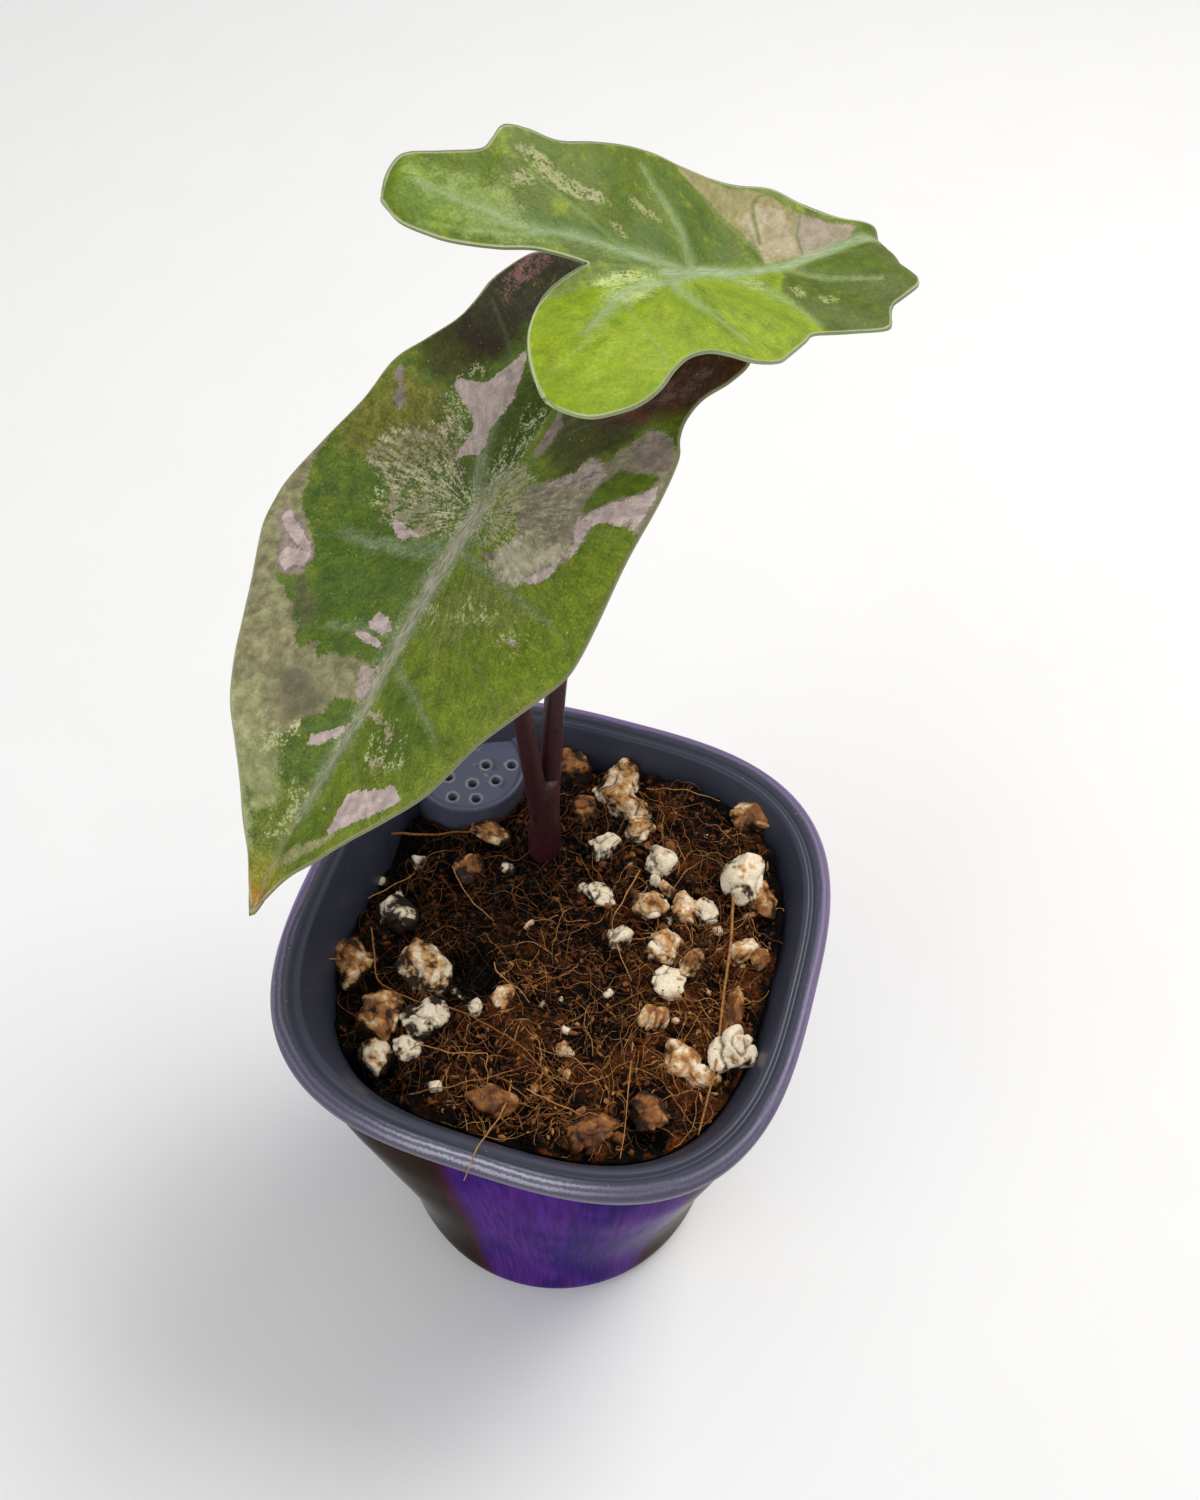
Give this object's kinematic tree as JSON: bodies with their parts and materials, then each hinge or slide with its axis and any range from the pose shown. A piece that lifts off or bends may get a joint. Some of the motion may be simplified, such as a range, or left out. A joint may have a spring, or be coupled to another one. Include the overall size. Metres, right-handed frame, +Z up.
{
  "type": "potted alocasia plant",
  "caption": "Young arrow-leaved aroid with variegated blades on dark stalks, in coarse mix in a frosted liner with a water inlet, hung in a rounded-square outer pot.",
  "frame": {"origin": "centre of the outer pot's flat foot, on the surface that it stands on", "axes": "+Z up, from the foot to the leaves; X and Y square to the pot's sides, with the side that the picture shows in front towards -Y"},
  "size_m": [0.117, 0.1501, 0.2706],
  "materials": {
    "outer_pot_plastic": "gloss",
    "liner_plastic": "satin",
    "mix": "matte",
    "stalk": "satin",
    "old_leaf": "satin",
    "young_leaf": "satin"
  },
  "bodies": {
    "root": {"outer_pot": "outer_pot_plastic", "inner_pot": "liner_plastic", "potting_mix": "mix", "stem_and_petioles": "stalk", "lower_leaf": "old_leaf", "upper_leaf": "young_leaf"}
  },
  "joints": []
}
